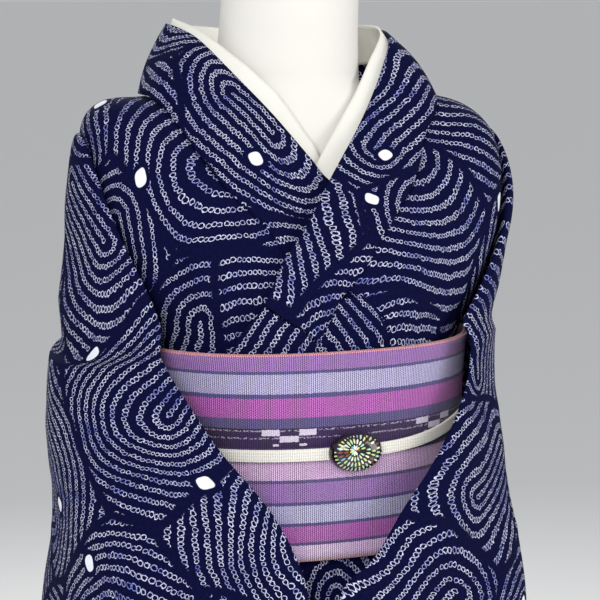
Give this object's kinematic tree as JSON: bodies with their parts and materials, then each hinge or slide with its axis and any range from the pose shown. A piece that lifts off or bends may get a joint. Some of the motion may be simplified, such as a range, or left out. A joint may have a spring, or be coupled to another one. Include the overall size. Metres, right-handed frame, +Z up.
{
  "type": "cotton yukata robe with its sash on a limbless dress form",
  "caption": "Ankle-length wrap robe with hanging bag sleeves and a wide sash tied in a flat bow, dressed on a limbless form on a round base.",
  "frame": {"origin": "centre of the round base's underside, on the floor", "axes": "+Z up, the wearer's left is +X, the front faces -Y"},
  "size_m": [0.4052, 0.33, 1.455],
  "materials": {
    "indigo_cotton": "dark indigo cotton with a pale dyed pattern",
    "white_cotton": "plain white cotton",
    "sash_weave": "ribbed weave striped in pinks, purples and blue greys",
    "cream_cord": "flat cream cord",
    "black_lacquer": "black lacquer with small inlaid strokes",
    "form_linen": "off-white covering",
    "satin_steel": "satin"
  },
  "bodies": {
    "root": {"body_left": "indigo_cotton", "body_right": "indigo_cotton", "gore_left": "indigo_cotton", "gore_right": "indigo_cotton", "skirt_back_left": "indigo_cotton", "skirt_back_right": "indigo_cotton", "skirt_front_left": "indigo_cotton", "skirt_front_right": "indigo_cotton", "skirt_gore_left": "indigo_cotton", "skirt_gore_right": "indigo_cotton", "over_collar": "indigo_cotton", "collar_left": "indigo_cotton", "collar_right": "indigo_cotton", "sleeve_left": "indigo_cotton", "sleeve_right": "indigo_cotton", "inner_collar": "white_cotton", "sash": "sash_weave", "bow_left": "sash_weave", "bow_right": "sash_weave", "bow_knot": "sash_weave", "cord": "cream_cord", "brooch": "black_lacquer", "form_torso": "form_linen", "pole": "satin_steel", "base": "satin_steel"}
  },
  "joints": []
}
